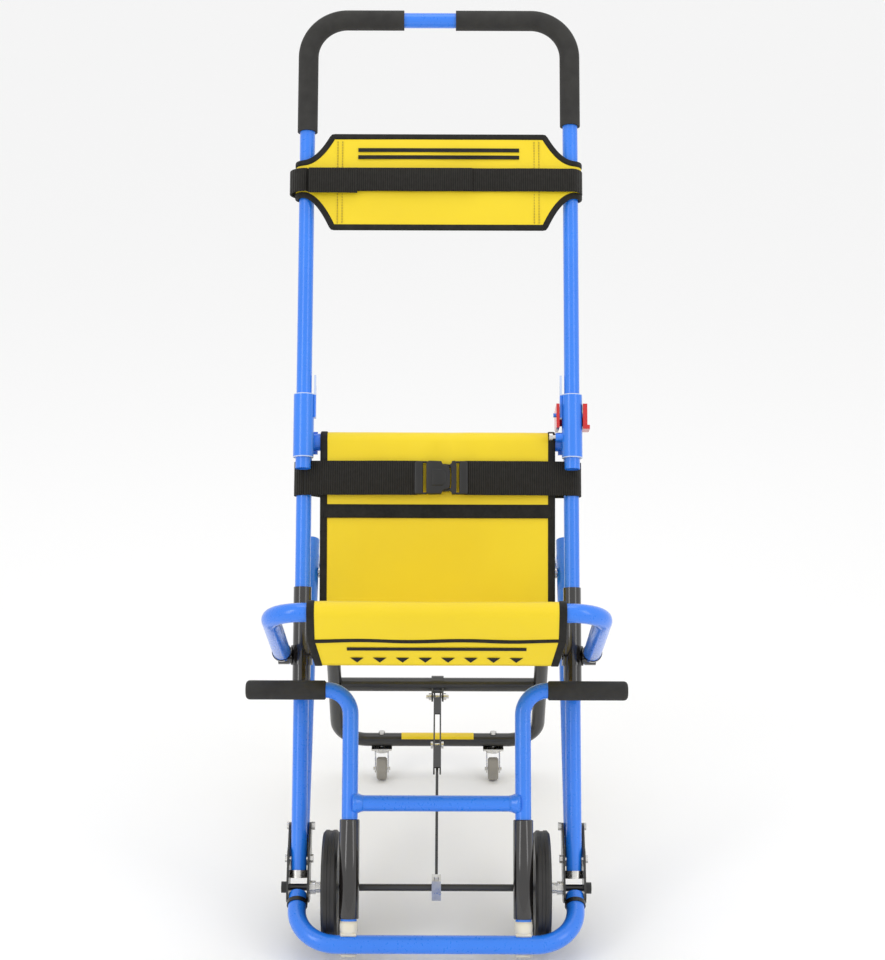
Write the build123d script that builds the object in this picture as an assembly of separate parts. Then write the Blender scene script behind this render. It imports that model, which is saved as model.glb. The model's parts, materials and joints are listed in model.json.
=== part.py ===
from build123d import *
import math
import os

# Evacuation stair chair, in millimetres. +Z is up and the chair faces -Y.
# The layout below is worked out from the middle of the wheel axle, and every part is
# moved at the end so that the origin is on the floor, in the middle of the chair.

# --- driving dimensions ---------------------------------------------------------------
floor_origin_y = 231.75       # from the axle back to the middle of the chair's depth
wheel_radius = 80.0
frame_lean = 25.0             # main frame, degrees back from upright
rail_lean = 44.0              # track rails, degrees back from upright
frame_half_width = 194.0      # to the middle of a main tube
tube_radius = 11.1            # 7/8 inch tube
stout_radius = 12.7           # 1 inch tube
tube_wall = 1.6

handle_offset = 26.0          # handle tubes stand this far in front of the main tubes
handle_bottom = 593.0
handle_top = 1271.0
handle_bend = 58.0
sleeve_bottom, sleeve_top = 609.0, 702.0
sleeve_radius = 14.8
grip_radius = 14.8

cross_tube_height = 636.0
cover_bottom, cover_top = 263.0, 424.0
cover_radius = 12.9

seat_pivot_height = 326.0     # along the main tubes
seat_reach, seat_rise = 220.0, 144.0
arm_half_width = 221.0
seat_bend = 46.0
sling_half_width = 169.0
sling_thickness = 3.0

foot_y, foot_z = -90.0, 40.0
foot_bend = 58.0
lift_half_width = 120.0
lift_grip_height = 273.0

rail_bottom, rail_top = 75.0, 545.0
belt_offset = 34.0            # belt pulleys, behind the rails
pulley_radius = 14.0
lower_pulley, upper_pulley = 62.0, 520.0

stand_pivot_along_rail = 490.0
stand_half_width = 166.0
stand_y, stand_z = 556.0, 66.0
stand_cross_y, stand_cross_z = 480.0, 195.0
clevis_y, clevis_z = 462.0, 181.0
strut_lower_share = 0.72      # of the way from the axle to the clevis
castor_x = 93.0
castor_trail = 12.0
castor_wheel_radius = 19.0

fit = 0.06                    # radial clearance of a turning or sliding fit


# --- helpers --------------------------------------------------------------------------
def lean(angle, along, offset):
    """Y and Z of a point on a line that leans back from the axle, offset to its front."""
    a = math.radians(angle)
    y = along * math.sin(a) - offset * math.cos(a)
    z = wheel_radius + along * math.cos(a) + offset * math.sin(a)
    return y, z


def on_frame(x, along, offset=0.0):
    return Vector(x, *lean(frame_lean, along, offset))


def on_rail(x, along, offset=0.0):
    return Vector(x, *lean(rail_lean, along, offset))


def rod(start, end, radius, bore=0.0):
    """A round bar or tube between two points."""
    axis = end - start
    plane = Plane(origin=start, z_dir=axis)
    section = Circle(radius) - Circle(bore) if bore else Circle(radius)
    return extrude(plane * section, amount=axis.length)


def cross_rod(x_from, x_to, y, z, radius, bore=0.0):
    return rod(Vector(x_from, y, z), Vector(x_to, y, z), radius, bore)


def bent_tube(points, bends, radius, wall=tube_wall):
    """A hollow tube along straight runs joined by tangent arcs."""
    path = FilletPolyline(*points, radius=bends)
    plane = Plane(origin=path @ 0, z_dir=path % 0)
    return sweep(plane * (Circle(radius) - Circle(radius - wall)), path=path)


def bent_skin(points, bends, radius, bore):
    path = FilletPolyline(*points, radius=bends)
    plane = Plane(origin=path @ 0, z_dir=path % 0)
    return sweep(plane * (Circle(radius) - Circle(bore)), path=path)


def side_plane(x):
    """A sketch plane facing +X, whose own x is the chair's Y and own y is the chair's Z."""
    return Plane(origin=(x, 0, 0), x_dir=(0, 1, 0), z_dir=(1, 0, 0))


def side_shape(x_from, x_to, sketch):
    low, high = min(x_from, x_to), max(x_from, x_to)
    return extrude(side_plane(low) * sketch, amount=high - low)


def link_shape(start, end):
    """The outline round two circles, each given as y, z, radius."""
    run = math.dist(start[:2], end[:2])
    toward = math.atan2(end[1] - start[1], end[0] - start[0])
    turn = math.acos((start[2] - end[2]) / run)
    corners = []
    for (y, z, r), sign in ((start, 1), (end, 1), (end, -1), (start, -1)):
        a = toward + sign * turn
        corners.append((y + r * math.cos(a), z + r * math.sin(a)))
    body = make_face(Polyline(*corners, close=True))
    return body + Pos(start[0], start[1]) * Circle(start[2]) + Pos(end[0], end[1]) * Circle(end[2])


def frame_block(x_from, x_to, along_from, along_to, offset_from, offset_to):
    """A box squared to the main frame."""
    x = (x_from + x_to) / 2
    centre = on_frame(x, (along_from + along_to) / 2, (offset_from + offset_to) / 2)
    size = (abs(x_to - x_from), abs(offset_to - offset_from), abs(along_to - along_from))
    return Location(centre, (-frame_lean, 0, 0)) * Box(*size)


def both_sides(make):
    return [make(-1), make(1)]


def group(*shapes):
    solids = []
    for shape in shapes:
        items = shape if isinstance(shape, list) else [shape]
        for item in items:
            solids.extend(item.solids())
    return Compound(children=solids) if len(solids) > 1 else solids[0]


# --- main frame -----------------------------------------------------------------------
def main_tube(side):
    x = side * frame_half_width
    tube = rod(on_frame(x, 17), on_frame(x, 690), tube_radius, tube_radius - tube_wall)
    for y, z in (lean(frame_lean, seat_pivot_height, 0), plate_bolt_places[0]):
        tube -= cross_rod(x - 20, x + 20, y, z, 3.0)
    return tube


def slide_sleeve(side):
    x = side * frame_half_width
    bottom = on_frame(x, sleeve_bottom, handle_offset)
    top = on_frame(x, sleeve_top, handle_offset)
    sleeve = rod(bottom, top, sleeve_radius)
    inner = x - side * (sleeve_radius + 1.2)
    hook = frame_block(inner - 1.4, inner + 1.4, 668, 716, 16, 30)
    tip = frame_block(inner - 1.4, inner + 1.4, 710, 730, 22, 30)
    sleeve = sleeve + hook + tip
    if side > 0:
        y, z = lean(frame_lean, latch_height, handle_offset)
        sleeve += cross_rod(x + 13, x + 19, y, z, 3.0)
        sleeve += cross_rod(x - 27, x - 13, y, z, 3.0)
        y, z = lean(frame_lean, plunger_height, handle_offset)
        sleeve += cross_rod(x - 24, x - 12, y, z, 6.0)
        sleeve -= cross_rod(x - 26, x - 8, y, z, 3.0 + fit)
    bore_start = on_frame(x, sleeve_bottom - 5, handle_offset)
    bore_end = on_frame(x, sleeve_top + 5, handle_offset)
    return sleeve - rod(bore_start, bore_end, tube_radius + fit)


def back_cross_tube():
    inner = frame_half_width - tube_radius - 0.1
    y, z = lean(frame_lean, cross_tube_height, 0)
    tube = cross_rod(-inner, inner, y, z, stout_radius, stout_radius - tube_wall)
    for side in (-1, 1):
        gusset = frame_block(side * (inner - 8), side * inner, 618, 651, -2, 2)
        tube += gusset - cross_rod(-inner, inner, y, z, stout_radius - 0.4)
    return tube


def tube_cover(side):
    x = side * frame_half_width
    cover = rod(on_frame(x, cover_bottom), on_frame(x, cover_top), cover_radius, tube_radius)
    y, z = lean(frame_lean, seat_pivot_height, 0)
    return cover - cross_rod(x - 20, x + 20, y, z, 3.0)


def tube_end_ring(side):
    x = side * frame_half_width
    return rod(on_frame(x, 13), on_frame(x, 24), tube_radius + 1.6, tube_radius)


# --- track rails and belts ------------------------------------------------------------
def pulley_centre(along):
    return lean(rail_lean, along, -belt_offset)


def track_rail(side):
    x = side * frame_half_width
    rail = rod(on_rail(x, rail_bottom), on_rail(x, rail_top), stout_radius)
    rail -= rod(on_rail(x, rail_bottom - 1), on_rail(x, rail_top + 1), stout_radius - tube_wall)
    for along, foot in ((lower_pulley, 88), (upper_pulley, 515)):
        y, z = pulley_centre(along)
        near = lean(rail_lean, foot, -4)
        outline = link_shape((y, z, 9), (*near, 9))
        for offset in (-11.5, 11.5):
            plate = side_shape(x + offset - 1, x + offset + 1, outline)
            plate -= cross_rod(x - 16, x + 16, y, z, 4.0)
            rail += plate
    bolt_y, bolt_z = plate_bolt_places[1]
    rail -= cross_rod(x - 20, x + 20, bolt_y, bolt_z, 3.0)
    y, z = lean(rail_lean, stand_pivot_along_rail, 0)
    return rail - cross_rod(x - 20, x + 20, y, z, 4.0)


def belt_pulley(side, along):
    x = side * frame_half_width
    y, z = pulley_centre(along)
    rims = [cross_rod(x - 9.5 + k, x - 7.5 + k, y, z, pulley_radius - 0.4) for k in (0, 17)]
    drum = cross_rod(x - 9.5, x + 9.5, y, z, pulley_radius - 1.2)
    return drum + rims - cross_rod(x - 20, x + 20, y, z, 4.0 + fit)


def pulley_pin(side, along):
    x = side * frame_half_width
    y, z = pulley_centre(along)
    pin = cross_rod(x - 13.5, x + 13.5, y, z, 4.0)
    return pin + [cross_rod(x + k, x + k + 2.5, y, z, 6.0) for k in (-15, 12.6)]


def track_belt(side):
    x = side * frame_half_width
    low_y, low_z = pulley_centre(lower_pulley)
    high_y, high_z = pulley_centre(upper_pulley)
    outer, inner = pulley_radius + 5, pulley_radius
    loop = link_shape((low_y, low_z, outer), (high_y, high_z, outer))
    hole = link_shape((low_y, low_z, inner), (high_y, high_z, inner))
    return side_shape(x - 9, x + 9, loop - hole)


# --- foot bar, axle and wheels --------------------------------------------------------
def foot_leg_point(x, distance):
    """A point on a foot bar leg, measured back and up from the front bar."""
    slope = math.atan2(wheel_radius + 3 - foot_z, -foot_y)
    return Vector(x, foot_y + distance * math.cos(slope), foot_z + distance * math.sin(slope))


leg_length = math.hypot(foot_y, wheel_radius + 3 - foot_z)


def foot_bar():
    left, right = -frame_half_width, frame_half_width
    end = leg_length - 16
    points = [foot_leg_point(left, end), foot_leg_point(left, 0),
              foot_leg_point(right, 0), foot_leg_point(right, end)]
    return bent_tube(points, foot_bend, stout_radius)


def foot_ring(side):
    x = side * frame_half_width
    return rod(foot_leg_point(x, leg_length - 35), foot_leg_point(x, leg_length - 29),
               stout_radius + 1.8, stout_radius)


def side_plate(side, face):
    """One of the two black plates that join the frame, the rail and the foot bar."""
    x = side * (frame_half_width + face * (stout_radius + 1.7))
    outline = link_shape((0, wheel_radius, 20), (54, 138, 15))
    outline += link_shape((0, wheel_radius, 18), (-12, 76, 12))
    outline += link_shape((0, wheel_radius, 18), (20, 118, 13))
    plate = side_shape(x - 1.5, x + 1.5, outline)
    plate -= cross_rod(x - 5, x + 5, 0, wheel_radius, 5.0)
    for y, z in plate_bolt_places:
        plate -= cross_rod(x - 5, x + 5, y, z, 3.0)
    return plate


plate_bolt_places = [lean(frame_lean, 40, 0), lean(rail_lean, 90, 0)]


def plate_bolt(side, place):
    y, z = place
    x = side * frame_half_width
    shank = cross_rod(x - 19, x + 19, y, z, 3.0)
    head = cross_rod(x + side * 16, x + side * 19.5, y, z, 5.5)
    nut = extrude(side_plane(min(x - side * 16, x - side * 20.5)) * Pos(y, z)
                  * RegularPolygon(5.8, 6), amount=4.5)
    return shank + head + nut


axle_radius = 5.0
wheel_inner, wheel_outer = 134.0, 161.0


def axle_bush(side):
    wide = cross_rod(side * 170, side * 178, 0, wheel_radius, 9.5)
    slim = cross_rod(side * (wheel_outer + 0.2), side * 170, 0, wheel_radius, 7.6)
    return wide + slim - cross_rod(-200, 200, 0, wheel_radius, axle_radius)


def axle_cap(side):
    cap = cross_rod(side * 210, side * 218, 0, wheel_radius, 8.0)
    return cap - cross_rod(-214, 214, 0, wheel_radius, axle_radius)


def turned(profile, y, z):
    """Turn a closed list of (x, radius) points round a cross axis at y, z."""
    face = make_face(Plane.XZ * Polyline(*[(x, r) for x, r in profile], close=True))
    return Pos(0, y, z) * revolve(face, Axis.X)


def tyre(side):
    inner, outer = side * (wheel_inner + 3), side * (wheel_outer - 2)
    middle = (inner + outer) / 2
    half = abs(outer - inner) / 2
    profile = [(middle - half, 66), (middle - half, 76), (middle - half + 3.5, 80),
               (middle - 3, wheel_radius), (middle - 2, 79), (middle + 2, 79),
               (middle + 3, wheel_radius), (middle + half - 3.5, 80), (middle + half, 76),
               (middle + half, 66)]
    return turned(profile, 0, wheel_radius)


def wheel_hub(side):
    bore = axle_radius + fit
    inner, outer = side * wheel_inner, side * wheel_outer
    step = side * 1.0
    profile = [(inner, bore), (inner, 24), (inner + 2 * step, 40), (inner + 5 * step, 48),
               (inner + 5 * step, 62), (inner + 4 * step, 66), (outer - 4 * step, 66),
               (outer - 6 * step, 60), (outer - 6 * step, 46), (outer - 3 * step, 34),
               (outer, 18), (outer, bore)]
    return turned(profile, 0, wheel_radius)


# --- handle ---------------------------------------------------------------------------
bare_from, bare_to = -52.0, 25.0
grip_left_end, grip_right_end = 1097.0, 1107.0


def handle_frame():
    off = handle_offset
    left, right = -frame_half_width, frame_half_width
    points = [on_frame(left, handle_bottom, off), on_frame(left, handle_top, off),
              on_frame(right, handle_top, off), on_frame(right, handle_bottom, off)]
    tube = bent_tube(points, handle_bend, tube_radius)
    y, z = lean(frame_lean, plunger_height, off)
    return tube - cross_rod(right - 16, right - 6, y, z, 3.2)


def handle_grip(side):
    off = handle_offset
    x = side * frame_half_width
    start = bare_to if side > 0 else bare_from
    end = grip_right_end if side > 0 else grip_left_end
    points = [on_frame(start, handle_top, off), on_frame(x, handle_top, off),
              on_frame(x, end, off)]
    return bent_skin(points, handle_bend, grip_radius, tube_radius)


panel_bottom, panel_top = 949.0, 1085.0
loop_bottom, loop_top = 997.0, 1045.0
strap_middle = 1018.0


def frame_outline(offset, points, thickness):
    """Extrude an outline given as (x, along the frame) forwards from an offset."""
    origin = on_frame(0, 0, offset)
    plane = Plane(origin=origin, x_dir=(1, 0, 0), z_dir=on_frame(0, 0, 1) - on_frame(0, 0, 0))
    return extrude(plane * make_face(Polyline(*points, close=True)), amount=thickness)


def head_panel():
    half_top, half_bottom, reach = 155.0, 152.0, 195.0
    points = [(-half_top, panel_top), (half_top, panel_top), (reach, loop_top),
              (reach, loop_bottom), (half_bottom, panel_bottom), (-half_bottom, panel_bottom),
              (-reach, loop_bottom), (-reach, loop_top)]
    panel = frame_outline(handle_offset + tube_radius + 0.3, points, 5.0)
    for side in (-1, 1):
        x = side * frame_half_width
        panel += rod(on_frame(x, loop_bottom, handle_offset),
                     on_frame(x, loop_top, handle_offset), tube_radius + 2.5)
    for side in (-1, 1):
        x = side * frame_half_width
        panel -= rod(on_frame(x, 900, handle_offset), on_frame(x, 1100, handle_offset),
                     tube_radius)
    return panel


def strap_loop(side, along_from, along_to, offset, outer, inner):
    x = side * frame_half_width
    return rod(on_frame(x, along_from, offset), on_frame(x, along_to, offset), outer, inner)


def head_strap():
    low, high = strap_middle - 17.5, strap_middle + 17.5
    clear = tube_radius + 5.6
    front = handle_offset + clear
    band = frame_block(-frame_half_width, frame_half_width, low, high, front, front + 2.0)
    for side in (-1, 1):
        loop = strap_loop(side, low, high, handle_offset, clear + 2.0, clear)
        inside = side * (frame_half_width - 14)
        loop -= frame_block(inside - 10, inside + 10, low - 1, high + 1, 0, 60)
        band += loop
    return band


# --- latch ----------------------------------------------------------------------------
latch_height = 672.0
plunger_height = 640.0


def latch_lever():
    """Red lever: two cheeks on studs either side of the sleeve, and a bridge behind."""
    x = frame_half_width
    outer_in, outer_out = x + sleeve_radius + 0.5, x + sleeve_radius + 7
    inner_in, inner_out = x - sleeve_radius - 3.6, x - sleeve_radius - 8
    lever = frame_block(outer_in, outer_out, 653, 688, 8, 34)
    lever += frame_block(inner_out, inner_in, 653, 688, -8, 34)
    lever += frame_block(outer_in, outer_out, 658, 686, -21, 10)
    lever += frame_block(inner_out, inner_in, 658, 686, -21, 0)
    lever += frame_block(inner_out, outer_out, 664, 680, -21, -17)
    flare = frame_block(outer_in, outer_out + 3.5, 651, 657, 6, 34)
    lever += flare
    y, z = lean(frame_lean, latch_height, handle_offset)
    return lever - cross_rod(x - 40, x + 40, y, z, 3.0 + fit)


def latch_plunger():
    x = frame_half_width
    y, z = lean(frame_lean, plunger_height, handle_offset)
    pin = cross_rod(x - 31, x - tube_radius - 0.1, y, z, 3.0)
    return pin + cross_rod(x - 33, x - 28, y, z, 5.5)


# --- seat -----------------------------------------------------------------------------
seat_arm_length = math.hypot(seat_reach, seat_rise)


def on_seat(x, along, above=0.0):
    """A point on the seat frame, measured out from the seat pivots, and above its plane."""
    y, z = lean(frame_lean, seat_pivot_height, 0)
    c, s = seat_reach / seat_arm_length, seat_rise / seat_arm_length
    return Vector(x, y - along * c + above * s, z + along * s + above * c)


def seat_bar():
    left, right = -arm_half_width, arm_half_width
    points = [on_seat(left, 26), on_seat(left, seat_arm_length),
              on_seat(right, seat_arm_length), on_seat(right, 26)]
    return bent_tube(points, seat_bend, stout_radius)


def arm_end_fitting(side):
    x = side * arm_half_width
    inner_face = side * 211.3
    plug = rod(on_seat(x, 12), on_seat(x, 34), stout_radius - tube_wall)
    collar = rod(on_seat(x, 20), on_seat(x, 25.8), stout_radius + 1.2)
    eye_centre = on_seat(0, 0)
    eye = cross_rod(inner_face, side * 227, eye_centre.Y, eye_centre.Z, 13.0)
    fitting = plug + collar + eye
    return fitting - cross_rod(side * 200, side * 240, eye_centre.Y, eye_centre.Z, 3.0 + fit)


def seat_pivot_bracket(side):
    x = side * frame_half_width
    saddle = rod(on_frame(x, 312), on_frame(x, 340), cover_radius + 2.6, cover_radius)
    centre = on_seat(0, 0)
    boss = cross_rod(side * 207.5, side * 211, centre.Y, centre.Z, 12.0)
    return saddle + boss - cross_rod(x - 22, x + 22, centre.Y, centre.Z, 3.0)


def seat_pivot_bolt(side):
    centre = on_seat(0, 0)
    shank = cross_rod(side * 176, side * 229, centre.Y, centre.Z, 3.0)
    head = cross_rod(side * 227.3, side * 231, centre.Y, centre.Z, 6.0)
    nut = cross_rod(side * 174, side * 178, centre.Y, centre.Z, 5.5)
    return shank + head + nut


def sling_back_panel():
    low, high = 338.0, cross_tube_height
    behind = -(stout_radius + 0.3)
    half = sling_half_width
    panel = frame_block(-half, half, low, high, behind - sling_thickness, behind)
    y, z = lean(frame_lean, cross_tube_height, 0)
    outer, inner = stout_radius + 0.3 + sling_thickness, stout_radius + 0.3
    roll = cross_rod(-half, half, y, z, outer, inner)
    return panel + roll


def sling_seat_panel():
    half = sling_half_width
    bar = on_seat(0, seat_arm_length)
    outer, inner = stout_radius + sling_thickness, stout_radius
    start, end = 18.0, seat_arm_length - 6
    low = on_seat(0, start, -stout_radius - sling_thickness / 2 + 12)
    outline = Polyline((low.Y, low.Z),
                       (on_seat(0, end, inner + 0.2).Y, on_seat(0, end, inner + 0.2).Z),
                       (on_seat(0, end, outer).Y, on_seat(0, end, outer).Z),
                       (on_seat(0, start, 4).Y, on_seat(0, start, 4).Z), close=True)
    panel = side_shape(-half, half, make_face(outline))
    roll = cross_rod(-half, half, bar.Y, bar.Z, outer, inner)
    top = Vector(0, bar.Y - 8, bar.Z - 11)
    flap = Location((0, top.Y + 5, top.Z - 20), (8, 0, 0)) * Box(2 * half - 8, 2.5, 40)
    flap -= cross_rod(-half - 5, half + 5, bar.Y, bar.Z, inner)
    return panel + roll + flap - cross_rod(-half - 5, half + 5, bar.Y, bar.Z, inner)


# --- lap belt -------------------------------------------------------------------------
belt_low, belt_high = 560.0, 606.0
belt_front = tube_radius + 0.5
belt_thick = 1.8


def lap_belt():
    """Webbing round both main tubes, in two halves that end at the buckle."""
    halves = []
    for side, end in ((-1, -26.0), (1, 34.0)):
        x = side * frame_half_width
        loop = strap_loop(side, belt_low, belt_high, 0, belt_front + belt_thick, belt_front)
        web = frame_block(x, end, belt_low, belt_high, belt_front, belt_front + belt_thick)
        halves.append(loop + web)
    return halves


def buckle_socket():
    body = frame_block(-34, 14, belt_low - 1, belt_high + 1, belt_front - 5, belt_front + 11)
    pocket = frame_block(-9.8, 15, belt_low + 6, belt_high - 6, belt_front - 2, belt_front + 8)
    slot = frame_block(-35, -25.5, belt_low - 0.5, belt_high + 0.5, belt_front - 0.2,
                       belt_front + belt_thick + 0.2)
    return body - pocket - slot


def buckle_tongue():
    base = frame_block(14.4, 44, belt_low - 1, belt_high + 1, belt_front - 4, belt_front + 10)
    slot = frame_block(33.5, 45, belt_low - 0.5, belt_high + 0.5, belt_front - 0.2,
                       belt_front + belt_thick + 0.2)
    tongue = base - slot
    middle = (belt_low + belt_high) / 2
    for offset in (-12, 0, 12):
        tongue += frame_block(-6, 16, middle + offset - 2.5, middle + offset + 2.5,
                              belt_front, belt_front + 6)
    return tongue


# --- kickstand ------------------------------------------------------------------------
stand_pivot_y, stand_pivot_z = lean(rail_lean, stand_pivot_along_rail, 0)


def on_stand(x, share):
    """A point on a kickstand leg, from its pivot (0) to the bottom bar (1)."""
    return Vector(x, stand_pivot_y + (stand_y - stand_pivot_y) * share,
                  stand_pivot_z + (stand_z - stand_pivot_z) * share)


def kickstand_frame():
    left, right = -stand_half_width, stand_half_width
    points = [on_stand(left, -0.03), on_stand(left, 1), on_stand(right, 1),
              on_stand(right, -0.03)]
    frame = bent_tube(points, 50.0, tube_radius)
    inner = stand_half_width - tube_radius + 0.6
    frame += cross_rod(-inner, inner, stand_cross_y, stand_cross_z, tube_radius,
                       tube_radius - tube_wall)
    frame -= cross_rod(-200, 200, stand_pivot_y, stand_pivot_z, 4.0 + fit)
    for side in (-1, 1):
        frame -= rod(Vector(side * castor_x, stand_y, 40),
                     Vector(side * castor_x, stand_y, 90), 3.0)
    return frame


def kickstand_pivot_bolt(side):
    shank = cross_rod(side * 150, side * 208, stand_pivot_y, stand_pivot_z, 4.0)
    head = cross_rod(side * 148, side * 153.5, stand_pivot_y, stand_pivot_z, 7.0)
    nut = cross_rod(side * 207, side * 212, stand_pivot_y, stand_pivot_z, 7.0)
    spacer = cross_rod(side * 177.6, side * 181, stand_pivot_y, stand_pivot_z, 8.0)
    return shank + head + nut + spacer


def strut_clevis():
    outline = link_shape((clevis_y, clevis_z, 8), (stand_cross_y, stand_cross_z, 8))
    plates = [side_shape(x - 1.5, x + 1.5, outline) for x in (-8.3, 8.3)]
    clevis = plates[0] + plates[1]
    clevis += cross_rod(-9.8, 9.8, stand_cross_y, stand_cross_z, tube_radius + 3)
    clevis -= cross_rod(-20, 20, stand_cross_y, stand_cross_z, tube_radius)
    gap = link_shape((clevis_y - 12, clevis_z - 8, 11), (clevis_y, clevis_z, 11))
    clevis -= side_shape(-6.8, 6.8, gap)
    return clevis - cross_rod(-20, 20, clevis_y, clevis_z, 3.0)


def clevis_bolt():
    shank = cross_rod(-18, 18, clevis_y, clevis_z, 3.0)
    return shank + [cross_rod(x, x + 4, clevis_y, clevis_z, 5.5) for x in (-14, 10)]


plate_top = stand_z - tube_radius - 0.2


def castor_plate(side):
    x = side * castor_x
    plate = Pos(x, stand_y, plate_top - 1.5) * Box(34, 30, 3)
    dome = Pos(x, stand_y, stand_z + tube_radius + 1.5) * Cylinder(5.5, 3.4)
    stem = rod(Vector(x, stand_y, plate_top - 9), Vector(x, stand_y, stand_z + 12), 3.0)
    return plate + dome + stem


def castor_fork(side):
    x = side * castor_x
    crown_top = plate_top - 3.4
    crown = Pos(x, stand_y, crown_top - 2.5) * Cylinder(13, 5)
    cheeks = link_shape((stand_y - 2, crown_top - 8, 8),
                        (stand_y - castor_trail, castor_wheel_radius, 7))
    fork = crown
    for face in (-10.6, 10.6):
        fork += side_shape(x + face - 1, x + face + 1, cheeks)
    fork -= rod(Vector(x, stand_y, 20), Vector(x, stand_y, crown_top + 1), 3.0 + fit)
    wheel_space = cross_rod(x - 9.4, x + 9.4, stand_y - castor_trail, castor_wheel_radius,
                            castor_wheel_radius + 1.5)
    fork -= wheel_space
    return fork + cross_rod(x - 14, x + 14, stand_y - castor_trail, castor_wheel_radius, 3.0)


def castor_wheel(side):
    x = side * castor_x
    r = castor_wheel_radius
    profile = [(x - 8.5, 3.0 + fit), (x - 8.5, r - 2.5), (x - 6, r), (x + 6, r),
               (x + 8.5, r - 2.5), (x + 8.5, 3.0 + fit)]
    return turned(profile, stand_y - castor_trail, r)


def kickstand_strip():
    strip = cross_rod(-60, 60, stand_y, stand_z, tube_radius + 0.6, tube_radius)
    top = Pos(0, stand_y - 4, stand_z + 9.5) * Box(130, 14, 9)
    return strip & top


# --- folding strut between the axle and the kickstand ---------------------------------
strut_y = clevis_y * strut_lower_share
strut_z = wheel_radius + (clevis_z - wheel_radius) * strut_lower_share
strut_angle = math.degrees(math.atan2(clevis_z - wheel_radius, clevis_y))
strut_length = math.hypot(clevis_y, clevis_z - wheel_radius)
strut_joint = strut_length * strut_lower_share


def strut_block(x_from, x_to, along_from, along_to, low, high):
    """A box squared to the strut, measured back from the axle along it."""
    a = math.radians(strut_angle)
    along, up = (along_from + along_to) / 2, (low + high) / 2
    centre = Vector((x_from + x_to) / 2, along * math.cos(a) - up * math.sin(a),
                    wheel_radius + along * math.sin(a) + up * math.cos(a))
    size = (abs(x_to - x_from), along_to - along_from, high - low)
    return Location(centre, (strut_angle, 0, 0)) * Box(*size)


def strut_lower():
    """Flat bar from the axle clamp, with an open hook under the strut bolt."""
    bar = strut_block(-2, 2, 14, strut_joint + 7, -7, 5)
    notch = strut_block(-3, 3, strut_joint - 26, strut_joint + 9, -3.4, 8)
    return bar - notch


def axle_clamp():
    body = Pos(0, 0, wheel_radius) * Box(13, 22, 30)
    body -= cross_rod(-10, 10, 0, wheel_radius, axle_radius + fit)
    body -= strut_block(-2, 2, 9, 30, -7, 5)
    screw = rod(Vector(0, -4, wheel_radius + 12), Vector(0, -4, wheel_radius + 19), 3.5)
    return body + screw


def strut_upper():
    """Two straps with bridges above, from the clevis past the strut bolt."""
    channel = strut_block(-6, 6, strut_joint - 68, strut_joint - 14, 6, 8)
    channel += strut_block(-6, 6, strut_joint + 74, strut_length - 14, 6, 8)
    for x in (-6, 3.6):
        channel += strut_block(x, x + 2.4, strut_joint - 68, strut_length, -6, 8)
    for x in (-6, 3.6):
        channel += cross_rod(x, x + 2.4, clevis_y, clevis_z, 7.0)
    channel -= cross_rod(-20, 20, clevis_y, clevis_z, 3.0 + fit)
    return channel - cross_rod(-20, 20, strut_y, strut_z, 3.0)


def strut_bolt():
    shank = cross_rod(-9, 9, strut_y, strut_z, 3.0)
    return shank + [cross_rod(x, x + 3.5, strut_y, strut_z, 5.5) for x in (-10, 6.5)]


# --- lift handle ----------------------------------------------------------------------
lift_lean = math.radians(frame_lean)
lift_offset = -foot_y * math.cos(lift_lean) + (foot_z - wheel_radius) * math.sin(lift_lean)


def lift_frame():
    off = lift_offset
    parts = []
    for side in (-1, 1):
        x = side * lift_half_width
        points = [on_frame(x, -44, off), on_frame(x, lift_grip_height, off),
                  on_frame(side * 262, lift_grip_height, off)]
        parts.append(bent_tube(points, 34.0, tube_radius))
    inner = lift_half_width - tube_radius + 0.6
    y, z = lean(frame_lean, 117, off)
    bar = cross_rod(-inner, inner, y, z, tube_radius, tube_radius - tube_wall)
    return parts[0] + parts[1] + bar


def lift_grip(side):
    start = on_frame(side * 155, lift_grip_height, lift_offset)
    end = on_frame(side * 262, lift_grip_height, lift_offset)
    tip = on_frame(side * 267, lift_grip_height, lift_offset)
    return rod(start, end, 13.4, tube_radius) + rod(end, tip, 13.4)


def leg_sleeve(side):
    x = side * lift_half_width
    return rod(on_frame(x, -40, lift_offset), on_frame(x, 95, lift_offset), 13.6, tube_radius)


def knuckle(side):
    """Nylon clip that holds a lift handle leg and turns on the foot bar."""
    x = side * lift_half_width
    ring = cross_rod(x - 12, x + 12, foot_y, foot_z, 17.5)
    stem = frame_block(x - 12, x + 12, -60, -44.2, lift_offset - 11, lift_offset + 11)
    plug = rod(on_frame(x, -46, lift_offset), on_frame(x, -22, lift_offset),
               tube_radius - tube_wall)
    clip = ring + stem + plug
    clip -= cross_rod(x - 20, x + 20, foot_y, foot_z, stout_radius + fit)
    mouth = Location((x, foot_y - 14, foot_z - 12), (-40, 0, 0)) * Box(30, 20, 16)
    slit = frame_block(x - 0.6, x + 0.6, -75, -40, lift_offset - 20, lift_offset - 2)
    return clip - mouth - slit


# --- parts ----------------------------------------------------------------------------
def axle():
    return cross_rod(-213, 213, 0, wheel_radius, axle_radius)


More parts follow.
